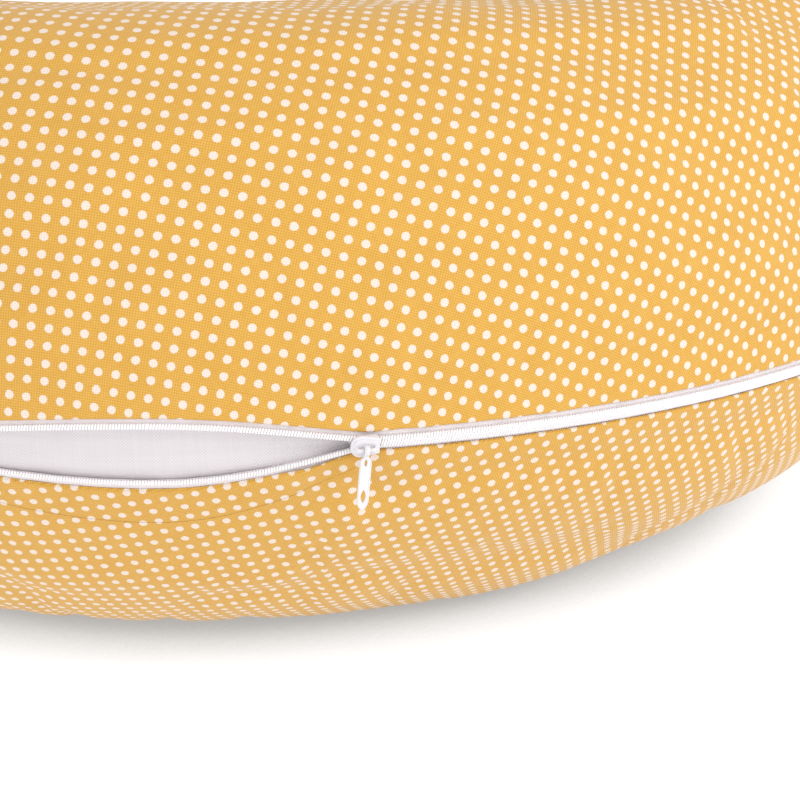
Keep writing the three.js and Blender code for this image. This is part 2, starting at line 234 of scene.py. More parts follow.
def new_material(name):
    material = bpy.data.materials.new(name)
    material.use_nodes = True
    tree = material.node_tree
    tree.nodes.clear()
    shader = tree.nodes.new("ShaderNodeBsdfPrincipled")
    output = tree.nodes.new("ShaderNodeOutputMaterial")
    tree.links.new(shader.outputs["BSDF"], output.inputs["Surface"])
    return material, tree, shader


def maths(tree, operation, a, b=0.0, c=0.0):
    return node(tree, "ShaderNodeMath", {"operation": operation}, i0=a, i1=b, i2=c).outputs[0]


def mixed(tree, factor, a, b):
    made = tree.nodes.new("ShaderNodeMix")
    made.data_type = "RGBA"
    for socket, value in ((made.inputs[0], factor), (made.inputs[6], a), (made.inputs[7], b)):
        if isinstance(value, bpy.types.NodeSocket):
            tree.links.new(value, socket)
        else:
            socket.default_value = value
    return made.outputs[2]


def glowing_floor_painted_shadow():
    """White opal board that glows as if lit from below, as on a light table, and so lights the pillow from
    below too.
    Its glow is turned down by ambient occlusion where something lies close over it: a painted narrow soft
    shadow."""
    material, tree, shader = new_material("glowing_floor_painted_shadow")
    shader.inputs["Base Color"].default_value = linear("#65676c")
    shader.inputs["Roughness"].default_value = 0.9
    shader.inputs["Emission Color"].default_value = linear("#ffffff")
    # Painted shadow: the floor's glow falls off where the pillow lies close over it
    painted_shadow_occlusion = node(tree, "ShaderNodeAmbientOcclusion", Distance=SHADOW_REACH)
    painted_shadow_glow = node(tree, "ShaderNodeMapRange", Value=painted_shadow_occlusion.outputs["AO"], From_Min=0.08, From_Max=0.26,
                To_Min=0.38, To_Max=0.97)
    tree.links.new(painted_shadow_glow.outputs["Result"], shader.inputs["Emission Strength"])
    return material


def fabric_coordinates(tree, turn, pitch):
    """The panel's flat pattern, in metres on its UV map, turned to the print and counted in pitches."""
    flat = node(tree, "ShaderNodeUVMap", {"uv_map": "pattern"}).outputs["UV"]
    mapping = node(tree, "ShaderNodeMapping", Vector=flat)
    mapping.inputs["Rotation"].default_value = (0, 0, turn * RAD)
    mapping.inputs["Scale"].default_value = (1 / pitch,) * 3
    return mapping.outputs["Vector"]


def plain_weave(tree, turn, thread):
    """Height of a plain weave, 0 to 1: warp and weft pass over each other once a thread."""
    across = fabric_coordinates(tree, turn, 2 * thread)
    parts = node(tree, "ShaderNodeSeparateXYZ", Vector=across)
    warp = maths(tree, "SINE", maths(tree, "MULTIPLY", parts.outputs["X"], 2 * math.pi))
    weft = maths(tree, "SINE", maths(tree, "MULTIPLY", parts.outputs["Y"], 2 * math.pi))
    return maths(tree, "MULTIPLY_ADD", maths(tree, "MULTIPLY", warp, weft), 0.5, 0.5), across


def slubs(tree, across):
    """Thick and thin threads: noise drawn out along the warp and along the weft."""
    found = []
    for stretch in ((0.035, 0.9, 1), (0.9, 0.035, 1)):
        mapping = node(tree, "ShaderNodeMapping", Vector=across)
        mapping.inputs["Scale"].default_value = stretch
        found.append(node(tree, "ShaderNodeTexNoise", {"noise_dimensions": "2D"},
                          Vector=mapping.outputs["Vector"], Scale=1.0, Detail=2.0).outputs[0])
    return maths(tree, "MULTIPLY", maths(tree, "ADD", found[0], found[1]), 0.5)


def printed_cotton(name, turn):
    """Cotton poplin, mustard with a printed dot: matt, a little sheen, threads at 45 degrees to the dots."""
    material, tree, shader = new_material(name)
    weave, across = plain_weave(tree, turn + 45, THREAD)
    threads = slubs(tree, across)

    cells = fabric_coordinates(tree, turn, DOT_PITCH)
    fine = node(tree, "ShaderNodeTexNoise", {"noise_dimensions": "2D"}, Vector=across, Scale=0.8, Detail=1.0)
    centred = node(tree, "ShaderNodeVectorMath", {"operation": "FRACTION"}, i0=cells).outputs[0]
    offset = node(tree, "ShaderNodeVectorMath", {"operation": "SUBTRACT"}, i0=centred,
                  i1=(0.5, 0.5, 0)).outputs[0]
    flat = node(tree, "ShaderNodeVectorMath", {"operation": "MULTIPLY"}, i0=offset, i1=(1, 1, 0)).outputs[0]
    reach = node(tree, "ShaderNodeVectorMath", {"operation": "LENGTH"}, i0=flat).outputs["Value"]
    ragged = maths(tree, "MULTIPLY_ADD", fine.outputs[0], 2 * DOT_BLUR, -DOT_BLUR)
    radius = DOT_RADIUS / DOT_PITCH
    dot = node(tree, "ShaderNodeMapRange", {"interpolation_type": "SMOOTHSTEP"},
               Value=maths(tree, "ADD", reach, ragged), From_Min=radius + DOT_BLUR,
               From_Max=radius - DOT_BLUR).outputs["Result"]

    wide = node(tree, "ShaderNodeTexNoise", {"noise_dimensions": "2D"}, Vector=cells, Scale=0.35, Detail=3.0)
    ground = mixed(tree, wide.outputs[0], linear("#dba43b"), linear("#e4b04b"))
    # Painted shade: the ground is coloured darker in the weave's hollows
    ground = mixed(tree, maths(tree, "MULTIPLY", weave, 0.9), ground, linear("#b8832a"))
    ground = mixed(tree, maths(tree, "MULTIPLY", threads, 0.35), ground, linear("#ecc069"))
    # Painted shade: the printed dots are also coloured darker in the weave's hollows
    print_white = mixed(tree, maths(tree, "MULTIPLY", weave, 0.6), linear("#f0e3da"), linear("#d6c4b2"))
    printed = mixed(tree, maths(tree, "MULTIPLY", dot, 0.93), ground, print_white)
    tree.links.new(printed, shader.inputs["Base Color"])

    height = maths(tree, "ADD", maths(tree, "MULTIPLY", weave, -1.0), maths(tree, "MULTIPLY", threads, 0.8))
    bump = node(tree, "ShaderNodeBump", Height=height, Strength=0.55, Distance=0.12 * MM)
    tree.links.new(bump.outputs["Normal"], shader.inputs["Normal"])
    shader.inputs["Roughness"].default_value = 0.88
    shader.inputs["Sheen Weight"].default_value = 0.18
    shader.inputs["Sheen Roughness"].default_value = 0.5
    return material


def ticking_cotton():
    """Bleached cotton ticking: a fine plain weave, white, with painted shade: darker and cooler in the
    weave's hollows.
    """
    material, tree, shader = new_material("ticking_cotton")
    weave, across = plain_weave(tree, 0, THREAD)
    threads = slubs(tree, across)
    # Painted shade: the weave's hollows are coloured darker
    cloth = mixed(tree, maths(tree, "MULTIPLY", weave, 0.8), linear("#dfdadb"), linear("#bdb4b8"))
    cloth = mixed(tree, maths(tree, "MULTIPLY", threads, 0.5), cloth, linear("#ebe7e8"))
    tree.links.new(cloth, shader.inputs["Base Color"])
    bump = node(tree, "ShaderNodeBump", Height=weave, Strength=0.4, Distance=-0.15 * MM)
    tree.links.new(bump.outputs["Normal"], shader.inputs["Normal"])
    shader.inputs["Roughness"].default_value = 0.92
    shader.inputs["Sheen Weight"].default_value = 0.1
    return material


def polyester_wadding():
    """Carded polyester fibre: soft white, clouded, with no thread direction."""
    material, tree, shader = new_material("polyester_wadding")
    place = node(tree, "ShaderNodeTexCoord").outputs["Object"]
    cloud = node(tree, "ShaderNodeTexNoise", Vector=place, Scale=60.0, Detail=6.0, Distortion=1.2)
    tuft = mixed(tree, cloud.outputs[0], linear("#dedbd6"), linear("#fbfaf8"))
    tree.links.new(tuft, shader.inputs["Base Color"])
    bump = node(tree, "ShaderNodeBump", Height=cloud.outputs[0], Strength=0.6, Distance=1.5 * MM)
    tree.links.new(bump.outputs["Normal"], shader.inputs["Normal"])
    shader.inputs["Roughness"].default_value = 1.0
    return material


def polyester_tape():
    """Woven polyester zip tape: close ribs along the tape, faintly lilac white."""
    material, tree, shader = new_material("polyester_tape")
    weave, across = plain_weave(tree, 0, TAPE_THREAD)
    ribs = node(tree, "ShaderNodeSeparateXYZ", Vector=across).outputs["Y"]
    rib = maths(tree, "SINE", maths(tree, "MULTIPLY", ribs, 2 * math.pi))
    height = maths(tree, "ADD", weave, maths(tree, "MULTIPLY", rib, 0.4))
    cloth = mixed(tree, maths(tree, "MULTIPLY", weave, 0.7), linear("#f1eced"), linear("#d9cdd3"))
    tree.links.new(cloth, shader.inputs["Base Color"])
    bump = node(tree, "ShaderNodeBump", Height=height, Strength=0.5, Distance=0.12 * MM)
    tree.links.new(bump.outputs["Normal"], shader.inputs["Normal"])
    shader.inputs["Roughness"].default_value = 0.8
    return material


def nylon_filament():
    """Extruded nylon for the coils and the stitching: smooth, milky, with a soft gloss."""
    material, tree, shader = new_material("nylon_filament")
    place = node(tree, "ShaderNodeTexCoord").outputs["Object"]
    grain = node(tree, "ShaderNodeTexNoise", Vector=place, Scale=900.0, Detail=2.0)
    milk = mixed(tree, grain.outputs[0], linear("#efeaeb"), linear("#faf7f8"))
    tree.links.new(milk, shader.inputs["Base Color"])
    shader.inputs["Roughness"].default_value = 0.42
    shader.inputs["Subsurface Weight"].default_value = 0.08
    shader.inputs["Subsurface Scale"].default_value = 0.5 * MM
    return material


def stove_enamel():
    """White enamel on die-cast zinc: an even gloss, thinned and greyer where handling wears the edges."""
    material, tree, shader = new_material("stove_enamel")
    place = node(tree, "ShaderNodeTexCoord").outputs["Object"]
    peel = node(tree, "ShaderNodeTexNoise", Vector=place, Scale=1400.0, Detail=2.0)
    smudge = node(tree, "ShaderNodeTexNoise", Vector=place, Scale=260.0, Detail=3.0)
    edge = node(tree, "ShaderNodeNewGeometry").outputs["Pointiness"]
    worn = node(tree, "ShaderNodeMapRange", Value=edge, From_Min=0.53, From_Max=0.62).outputs["Result"]
    coat = mixed(tree, smudge.outputs[0], linear("#dcdadf"), linear("#e9e7ea"))
    tree.links.new(mixed(tree, maths(tree, "MULTIPLY", worn, 0.3), coat, linear("#d3cecd")),
                   shader.inputs["Base Color"])
    tree.links.new(maths(tree, "MULTIPLY_ADD", smudge.outputs[0], 0.14, 0.2), shader.inputs["Roughness"])
    bump = node(tree, "ShaderNodeBump", Height=peel.outputs[0], Strength=0.12, Distance=0.03 * MM)
    tree.links.new(bump.outputs["Normal"], shader.inputs["Normal"])
    shader.inputs["Coat Weight"].default_value = 0.25
    return material


# ---- The pillow's surface ----

def arc_chain(turns, radii, rise):
    """The section's arcs; the last two radii are the ones that bring it to the inner seam."""
    turned = np.radians(turns)
    across = np.cos(turned[:-1]) - np.cos(turned[1:])
    up = np.sin(turned[1:]) - np.sin(turned[:-1])
    given = len(radii)
    width = SEAM_RADIUS - INNER_RADIUS - np.dot(radii, across[:given])
    height = rise - np.dot(radii, up[:given])
    last = np.linalg.solve([across[given:], up[given:]], [width, height])
    radius = np.array([*radii, *last])
    ends = np.cumsum(radius * np.diff(turned))
    return {
        "radius": radius,
        "turned": turned[:-1],
        "start": np.concatenate([[0], ends[:-1]]),
        "inward": np.concatenate([[0], np.cumsum(radius * across)[:-1]]),
        "up": np.concatenate([[0], np.cumsum(radius * up)[:-1]]),
        "length": ends[-1],
    }


TOP = arc_chain(TOP_TURNS, TOP_RADII, -INNER_SEAM_DROP)
BOTTOM = arc_chain(BOTTOM_TURNS, BOTTOM_RADII, INNER_SEAM_DROP)
chain_of = {1: TOP, -1: BOTTOM}


def smooth(t):
    x = np.clip(t, 0, 1)
    return x * x * (3 - 2 * x)


def skin(angle, tip, side, s, depth=0.0, lift=0.0):
    """Points of the pillow's surface, in metres. angle runs round the C and tip closes an arm's end.
    side is 1 above the seams and -1 below, s is the distance from the outer seam, depth is how far a point
    lies under the skin and lift how far above or below the seams' height."""
    chain = chain_of[side]
    arc = np.clip(np.searchsorted(chain["start"], s, side="right") - 1, 0, len(chain["radius"]) - 1)
    radius, turned, start = chain["radius"][arc], chain["turned"][arc], chain["start"][arc]
    turn = turned + (s - start) / radius
    inward = chain["inward"][arc] + radius * (np.cos(turned) - np.cos(turn))
    up = chain["up"][arc] + radius * (np.sin(turn) - np.sin(turned))
    scale = 1 - ARM_TAPER * smooth((np.abs(angle) - STRAIGHT_ANGLE) / (ARM_ANGLE - STRAIGHT_ANGLE))
    facing = turn + (side * RIDGE * RAD - turn) * np.maximum(0, 1 - s / MITRE)
    facing = facing + (math.pi - facing) * np.maximum(0, 1 - (chain["length"] - s) / MITRE)
    across = -scale * inward - depth * np.cos(facing)
    rise = side * (scale * up - depth * np.sin(facing))
    middle = -scale * (SEAM_RADIUS - INNER_RADIUS) / 2
    middle_rise = -scale * INNER_SEAM_DROP / 2
    closed = np.cos(tip)
    reach = (TIP_LENGTH - depth) * np.sin(tip)
    turn_round = angle * RAD + np.sign(angle) * reach / (SEAM_RADIUS + middle)
    out = SEAM_RADIUS + middle + (across - middle) * closed
    height = scale * SEAM_HEIGHT + middle_rise + (rise - middle_rise) * closed + side * lift
    height = np.maximum(height, np.maximum(depth, 0))
    flat = out * np.sin(turn_round), -out * np.cos(turn_round)
    return CENTRE + np.stack(np.broadcast_arrays(*flat, height), -1)


def flat_pattern(angle, tip, side, s):
    """Where a point of the skin lies on its panel's flat pattern, a fan that is narrower than the C."""
    hub = 1.06 * SEAM_RADIUS / PANEL_SHARE
    middle = chain_of[side]["length"] / 2
    fan = PANEL_SHARE * angle * RAD
    out = hub - (middle + (s - middle) * np.cos(tip))
    along = np.sign(angle) * TIP_LENGTH * tip
    u = out * np.sin(fan) + along * np.cos(fan)
    v = out * np.cos(fan) - along * np.sin(fan)
    return np.stack(np.broadcast_arrays(u, v), -1)


def lip_share(angle):
    """How far a lip's point follows the lip: 0 at the mouth's ends and 1 in its middle."""
    right = np.sin(math.pi / 2 * np.clip((SLIDER_ANGLE - angle) / (SLIDER_ANGLE - MOUTH_ANGLE), 0, 1))
    left = (1 + np.cos(math.pi * np.clip((MOUTH_ANGLE - angle) / (MOUTH_ANGLE - ZIP_START), 0, 1))) / 2
    return np.where(angle >= MOUTH_ANGLE, right, left)


def mouth(angle, side):
    """How far a lip of the zip's mouth stands from the seam line."""
    return MOUTH_WIDEST[side] * lip_share(angle)


def degrees(length):
    return length / SEAM_RADIUS / RAD


def slot_edge(angle, side):
    """Distance of the cover's folded edge from the seam line; the slot's ends are round."""
    inside = np.minimum(angle - ZIP_START, ZIP_END - angle) / degrees(SLOT_HALF)
    rounded = SLOT_HALF * np.sqrt(np.clip(1 - (1 - np.clip(inside, 0, 1)) ** 2, 0, 1))
    return rounded + mouth(angle, side) + LIP_BARE[side] * lip_share(angle)


# ---- Meshes from grids ----

def runs(*stretches):
    """Numbers along a line, from (start, end, step) stretches that follow one another."""
    found = [stretches[0][0]]
    for start, end, step in stretches:
        count = max(1, math.ceil(abs(end - start) / step - 1e-6))
        found.extend(start + (end - start) * (i + 1) / count for i in range(count))
    return np.array(found)


def make_mesh(name, points, faces, material, uv=None, weld=1e-6):
    """A smooth-shaded object from points and faces, its doubles welded and its faces outward."""
    mesh = bpy.data.meshes.new(name)
    points = np.asarray(points, dtype=float).reshape(-1, 3)
    mesh.from_pydata(points.tolist(), [], [list(face) for face in faces])
    if uv is not None:
        layer = mesh.uv_layers.new(name="pattern")
        corner = np.empty(len(mesh.loops), dtype=np.int32)
        mesh.loops.foreach_get("vertex_index", corner)
        layer.data.foreach_set("uv", np.asarray(uv).reshape(-1, 2)[corner].astype(np.float32).ravel())
    work = bmesh.new()
    work.from_mesh(mesh)
    bmesh.ops.remove_doubles(work, verts=work.verts, dist=weld)
    if work.calc_volume(signed=True) < 0:
        bmesh.ops.reverse_faces(work, faces=work.faces)
    for face in work.faces:
        face.smooth = True
    work.to_mesh(mesh)
    work.free()
    mesh.set_sharp_from_angle(angle=50 * RAD)
    mesh.materials.append(material)
    made = bpy.data.objects.new(name, mesh)
    bpy.context.scene.collection.objects.link(made)
    return made


def shell_faces(rows, columns):
    """Quads of a closed shell whose outer grid comes first and whose inner grid follows."""
    front = np.arange(rows * columns).reshape(rows, columns)
    back = front + rows * columns
    quads = []
    for grid, order in ((front, (0, 1, 2, 3)), (back, (3, 2, 1, 0))):
        corners = [grid[:-1, :-1], grid[:-1, 1:], grid[1:, 1:], grid[1:, :-1]]
        quads.append(np.stack([corners[i] for i in order], -1).reshape(-1, 4))
    rim = lambda grid: np.concatenate([grid[0, :-1], grid[:-1, -1], grid[-1, :0:-1], grid[:0:-1, 0]])
    outer, inner = rim(front), rim(back)
    quads.append(np.stack([outer, inner, np.roll(inner, -1), np.roll(outer, -1)], -1))
    return np.concatenate(quads)


def make_shell(name, side, angle, tip, s, outer, inner, material, lift=0.0):
    """A sheet of the pillow between two depths, as one closed body with its flat pattern as UVs."""
    faces = [skin(angle, tip, side, s, depth, lift) for depth in (outer, inner)]
    pattern = np.broadcast_to(flat_pattern(angle, tip, side, s), faces[0].shape[:2] + (2,))
    return make_mesh(name, np.stack(faces), shell_faces(*faces[0].shape[:2]), material,
                     np.stack([pattern, pattern]))


# ---- The cover ----

ROLL = 0.9 * MM
HEM_SHOWS = 4 * MM
HEM_LAP = 0.07 * MM
HEM_SUNK = 0.3 * MM
HEM_TUCK = 0.3 * MM
HEM_CLOTH = 0.5 * MM
HEM_SPARE = 3 * MM
FEATHER = 8 * MM
FEATHER_EDGE = 0.02 * MM
FULL_CUT = 0.02
SETTLE_FRAMES = 20
SETTLE_STEP = 5 * MM
SWELL_MOST = 0.5 * MM
FOLD_MOST = 1.2 * MM
DRAWN_MOST = 0.62 * MM
DRAWN_OUT = 1.2
LIP_OPENS = {1: 5.4 * MM, -1: 10.6 * MM}
LIP_CLOSES = {1: 6 * MM, -1: 11.7 * MM}
SLIDE_REACH = {1: 26 * MM, -1: 42 * MM}
SLIDE_FADE = 25 * MM
BEND_PAST = 1.2

TIP_COLUMNS = [(-ARM_ANGLE, tip) for tip in np.linspace(math.pi / 2, 0, 15)[:-1]]
ARM_COLUMNS = [(a, 0.0) for a in runs((-ARM_ANGLE, -30, 1.2), (-30, -25, 0.5))[:-1]]
ZIP_COLUMNS = [(a, 0.0) for a in runs((-25, -23, 0.08), (-23, 10, 0.4), (10, 14, 0.2), (14, 43, 0.4),
                                      (43, 45, 0.08))]
FAR_COLUMNS = [(a, 0.0) for a in runs((45, 50, 0.5), (50, ARM_ANGLE, 1.2))[1:]]
COLUMNS = np.array(TIP_COLUMNS + ARM_COLUMNS + ZIP_COLUMNS + FAR_COLUMNS
                   + [(-a, t) for a, t in reversed(TIP_COLUMNS)])
SETTLE_COLUMNS = COLUMNS[2:-2:2]
ROW_STEPS = runs((0, 1.2, 0.2), (1.2, 4, 0.55), (4, 16, 1.2), (16, 40, 2.2), (40, 130, 3.0)) * MM


def panel_rows(side):
    """Distances from a panel's edge: close at both seams and wider between them."""
    length = chain_of[side]["length"]
    middle = runs((ROW_STEPS[-1], length - ROW_STEPS[-1], 3.4 * MM))[1:-1]
    return np.concatenate([ROW_STEPS, middle, length - ROW_STEPS[::-1]])


def roll(x):
    """Depth of a fold's outside at a distance from the fold."""
    return ROLL - np.sqrt(ROLL ** 2 - np.clip(ROLL - x, 0, ROLL) ** 2)


def hem_line(angle, side):
    """Where the panel ends over a lip's loose hem, as a distance from the seam line."""
    return slot_edge(angle, side) + HEM_SHOWS + LIP_OPENS[side] * lip_share(angle)


def lap_depth(angle):
    """How deep the hem lies where the panel laps over it: most where the lip slides furthest."""
    return HEM_LAP + HEM_SUNK * lip_share(angle)


def ripples(values, phase, periods):
    """A sum of sines with falling strength, for creases that never quite repeat."""
    total = 0
    for i, period in enumerate(periods):
        total = total + np.sin(2 * math.pi * values / period + phase + 1.7 * i) / (1 + 0.6 * i)
    return total / len(periods)


def draw_lines(along, s):
    """Folds that fan out below the mouth from where the slider holds the cloth together."""
    left = SLIDER_ANGLE * RAD * SEAM_RADIUS + 4 * MM - along
    down = s + 6 * MM
    away = np.hypot(left, down)
    fan = np.arctan2(down, left)
    wander = 1 + 0.12 * np.sin(away / (11 * MM))
    folds = np.sin(9.5 * fan * wander + 0.9) + 0.4 * np.sin(17 * fan + 2.0 + away / (30 * MM))
    strength = smooth((away - 6 * MM) / (22 * MM)) * np.exp(-((away - 30 * MM) / (42 * MM)) ** 2)
    within = smooth((fan - 0.2) / 0.35) * smooth((1.75 - fan) / 0.6)
    return DRAWN_MOST * (folds + DRAWN_OUT) * strength * within


def fullness(angle, tip, side, s):
    """How far the stuffed cloth stands out: soft lumps, puckers at both seams, creases under the mouth."""
    length = chain_of[side]["length"]
    inner_arc = angle * RAD * INNER_RADIUS
    outer_arc = angle * RAD * SEAM_RADIUS
    from_inner = length - s
    arm = np.cos(tip)
    lumps = 1.3 * MM * ripples(outer_arc + 0.7 * s, 1.0 + side, (0.171, 0.113, 0.083))
    lumps = lumps + 1.0 * MM * ripples(s - 0.4 * outer_arc, 2.0 - side, (0.137, 0.094))
    gathers = ripples(inner_arc + 0.12 * from_inner, 0.6 * side, (0.0143, 0.0231, 0.0109))
    inner = 1.5 * MM * gathers * np.exp(-from_inner / 0.026) * smooth(from_inner / 0.006)
    puckers = ripples(outer_arc + 0.25 * s, 1.3 * side, (0.0127, 0.0203, 0.031))
    outer = 0.34 * MM * puckers * np.exp(-s / 0.016) * smooth(s / 0.004)
    lift = lumps * smooth(s / 0.05) * smooth(from_inner / 0.05) + outer + inner
    if side < 0:
        lift = lift + draw_lines(outer_arc, s)
    return lift * arm


def path_place(angle, tip):
    """One number along the C, tips included."""
    return angle + np.sign(angle) * tip * 20


def cushion_grid(angle, tip, rows):
    """Both panels as one ring of points a column: up the top panel, then back along the bottom one."""
    above = skin(angle, tip, 1, rows[1][None, :])
    below = skin(angle, tip, -1, rows[-1][None, :])
    return np.concatenate([above, below[:, -2:0:-1]], axis=1)


def ring_faces(columns, around):
    index = np.arange(columns * around).reshape(columns, around)
    onward = np.roll(index, -1, axis=1)
    return np.stack([index[:-1], onward[:-1], onward[1:], index[1:]], -1).reshape(-1, 4)


def settle_cover():
    """Lets the stuffed cover settle as cloth cut a little full: its seams, its zip and the cloth it lies on
    are held, and the filling presses out. Gives how far each point moved out of the skin."""
    angle, tip = SETTLE_COLUMNS[:, :1], SETTLE_COLUMNS[:, 1:]
    rows = {side: np.linspace(0, chain_of[side]["length"], round(chain_of[side]["length"] / SETTLE_STEP))
            for side in (1, -1)}
    ring = cushion_grid(angle, tip, rows)
    count, around = ring.shape[:2]
    start = ring.reshape(-1, 3)
    mesh = bpy.data.meshes.new("settling")
    mesh.from_pydata(start.tolist(), [], ring_faces(count, around).tolist())
    pillow = bpy.data.objects.new("settling", mesh)
    bpy.context.scene.collection.objects.link(pillow)
    normals = np.empty(len(start) * 3)
    mesh.vertices.foreach_get("normal", normals)
    normals = normals.reshape(-1, 3)

    from_seam = np.concatenate([rows[1], rows[-1][-2:0:-1]])[None, :] + 0 * angle
    inner_seam = len(rows[1]) - 1
    lip_way = np.concatenate([mouth(angle, 1) + 0 * rows[1],
                              mouth(angle, -1) + 0 * rows[-1][-2:0:-1]], axis=1)
    zipped = (angle > ZIP_START - 3) & (angle < ZIP_END + 3) & (from_seam < 12 * MM + 1.6 * lip_way)
    held = zipped | (ring[..., 2] < 0.6 * MM) | (from_seam < 1 * MM) | (np.cos(tip) < 0.2)
    held[:, inner_seam] = True
    pins = pillow.vertex_groups.new(name="held")
    pins.add(np.flatnonzero(held.ravel()).tolist(), 1.0, "REPLACE")

    cloth = pillow.modifiers.new("settle", "CLOTH")
    settings = cloth.settings
    settings.quality = 6
    settings.tension_stiffness = 30
    settings.compression_stiffness = 30
    settings.shear_stiffness = 12
    settings.bending_stiffness = 0.6
    settings.shrink_min = -FULL_CUT
    settings.use_pressure = True
    settings.uniform_pressure_force = 4
    settings.effector_weights.gravity = 0
    settings.vertex_group_mass = "held"
    cloth.collision_settings.use_collision = False
    scene = bpy.context.scene
    for frame_number in range(1, SETTLE_FRAMES + 1):
        scene.frame_set(frame_number)
    evaluated = pillow.evaluated_get(bpy.context.evaluated_depsgraph_get())
    ends = np.empty(len(start) * 3)
    evaluated.data.vertices.foreach_get("co", ends)
    scene.frame_set(1)
    bpy.data.objects.remove(pillow)
    out = ((ends.reshape(-1, 3) - start) * normals).sum(1).reshape(count, around)
    swell = blurred(out)
    folds = out - swell
    lengths = np.concatenate([0 * rows[1] + rows[1][-1], 0 * rows[-1][1:-1] + rows[-1][-1]])
    fold_most = FOLD_MOST * (1 + 1.4 * np.exp(-(lengths - from_seam) / (50 * MM)))
    out = SWELL_MOST * np.tanh(swell / (3 * SWELL_MOST)) + fold_most * np.tanh(folds / (2 * fold_most))
    out = np.where(held, 0, out)
    below = np.concatenate([out[:, :1], out[:, :inner_seam - 1:-1]], axis=1)
    return {1: (rows[1], out[:, :inner_seam + 1]), -1: (rows[-1], below)}


def blurred(field, reach=4, rounds=3):
    """A field's broad shape: repeated running means both ways, around the ring and along the columns."""
    for _ in range(rounds):
        field = sum(np.roll(field, i, axis=1) for i in range(-reach, reach + 1)) / (2 * reach + 1)
        ends = np.pad(field, ((reach, reach), (0, 0)), mode="edge")
        field = sum(ends[i:i + len(field)] for i in range(2 * reach + 1)) / (2 * reach + 1)
    return field


def cubic(t):
    """The weights of the four samples round a place, for a smooth curve through them."""
    return np.stack([((2 - t) * t - 1) * t, (3 * t - 5) * t * t + 2,
                     ((4 - 3 * t) * t + 1) * t, (t - 1) * t * t]) / 2


def settled_lift(angle, tip, side, s):
    """How far the settled cover stands out at a point."""
    if settled is None:
        return 0.0
    rows, field = settled[side]
    places = path_place(SETTLE_COLUMNS[:, 0], SETTLE_COLUMNS[:, 1])
    column = np.interp(path_place(angle, tip + 0 * angle), places, np.arange(len(field)))
    row = np.interp(s, rows, np.arange(len(rows)))
    column, row = np.broadcast_arrays(column, row)
    i, j = np.floor(column).astype(int), np.floor(row).astype(int)
    across, along = cubic(column - i), cubic(row - j)
    total = 0
    for a in range(4):
        for b in range(4):
            sample = field[np.clip(i + a - 1, 0, len(field) - 1), np.clip(j + b - 1, 0, len(rows) - 1)]
            total = total + across[a] * along[b] * sample
    return total


def stands_out(angle, tip, side, s):
    """How far the cover stands out of the plain skin; what is inside it follows. It is smooth where the
    loose hem slides."""
    slides = lip_share(angle) * (1 - smooth((s - SLIDE_REACH[side]) / SLIDE_FADE))
    return (fullness(angle, tip, side, s) + settled_lift(angle, tip, side, s)) * (1 - slides)


def make_cover_panel(name, side, material):
    angle = COLUMNS[:, :1]
    tip = COLUMNS[:, 1:]
    length = chain_of[side]["length"]
    open_mouth = (angle > ZIP_START) & (angle < SLIDER_ANGLE + 0.8)
    lap = smooth((SLIDER_ANGLE + 0.8 - angle) / 0.8) * smooth((angle - ZIP_START) / 0.6)
    lap = np.where(open_mouth, lap, 0)
    edge = slot_edge(angle, side) + lap * (hem_line(angle, side) - slot_edge(angle, side))
    rows = panel_rows(side)[None, :]
    s = edge + rows * (length - edge) / length
    x = s - edge
    inner_roll = roll(length - s) * np.cos(tip)
    feathered = (lap_depth(angle) + 0.01 * MM) * (1 - smooth(x / FEATHER))
    thinned = FEATHER_EDGE + (COVER - FEATHER_EDGE) * smooth((x - 2 * MM) / FEATHER)
    thickness = COVER * (1 - lap) + thinned * lap
    outer = roll(x) * (1 - lap) + feathered * lap + inner_roll
    inner = np.where(lap > 0, outer + thickness, COVER + inner_roll)
    lift = stands_out(angle, tip, side, s)
    return make_shell(name, side, angle, tip, s, outer - lift, inner - lift, material, SEAM_GAP / 2)


def make_lip_hem(name, side, half, material):
    """The cover's loose edge along one half of the mouth, tucked under its panel."""
    stretch = (runs((ZIP_START - 0.4, ZIP_START + 2, 0.1), (ZIP_START + 2, 0, 0.4)) if half == "left"
               else runs((0, 10, 0.4), (10, SLIDER_ANGLE + 1.6, 0.1)))
    angle = stretch[:, None]
    edge = slot_edge(angle, side)
    line = hem_line(angle, side)
    top = line + LIP_CLOSES[side] * lip_share(angle) + HEM_SPARE
    share = runs((0, 0.06, 0.012), (0.06, 0.25, 0.03), (0.25, 1, 0.05))[None, :]
    s = edge + share * (top - edge)
    x = s - edge
    tuck = lap_depth(angle) * smooth((x - 1 * MM) / (line - edge - 1 * MM))
    tuck = tuck + HEM_TUCK * smooth((s - line) / FEATHER)
    outer = roll(x) + tuck + FEATHER_EDGE
    inner = np.maximum(tuck + HEM_CLOTH, (COVER + 0.1 * MM) * (1 - smooth(x / (4 * MM))))
    lift = stands_out(angle, 0.0, side, s)
    return make_shell(name, side, angle, 0.0, s, outer - lift, inner - lift, material)


# ---- The inner cushion ----

def pressed(angle, s):
    """How much deeper the inner cushion lies behind the zip: most under the slider's path."""
    outside = np.maximum(np.maximum(ZIP_START - angle, angle - ZIP_END), 0)
    path = POCKET - (POCKET - TAPE_POCKET) * smooth((s - SLIDER_HALF * MM) / (4 * MM))
    return path * (1 - smooth((s - POCKET_FULL) / (POCKET_END - POCKET_FULL))) * (1 - smooth(outside / 11))


def liner_crumple(angle, s):
    """Small soft folds of the ticking."""
    arc = angle * RAD * SEAM_RADIUS
    fold = ripples(arc + 0.5 * s, 0.9, (0.019, 0.031, 0.013)) * ripples(s - 0.3 * arc, 0.2, (0.017, 0.027))
    return 0.5 * MM * fold


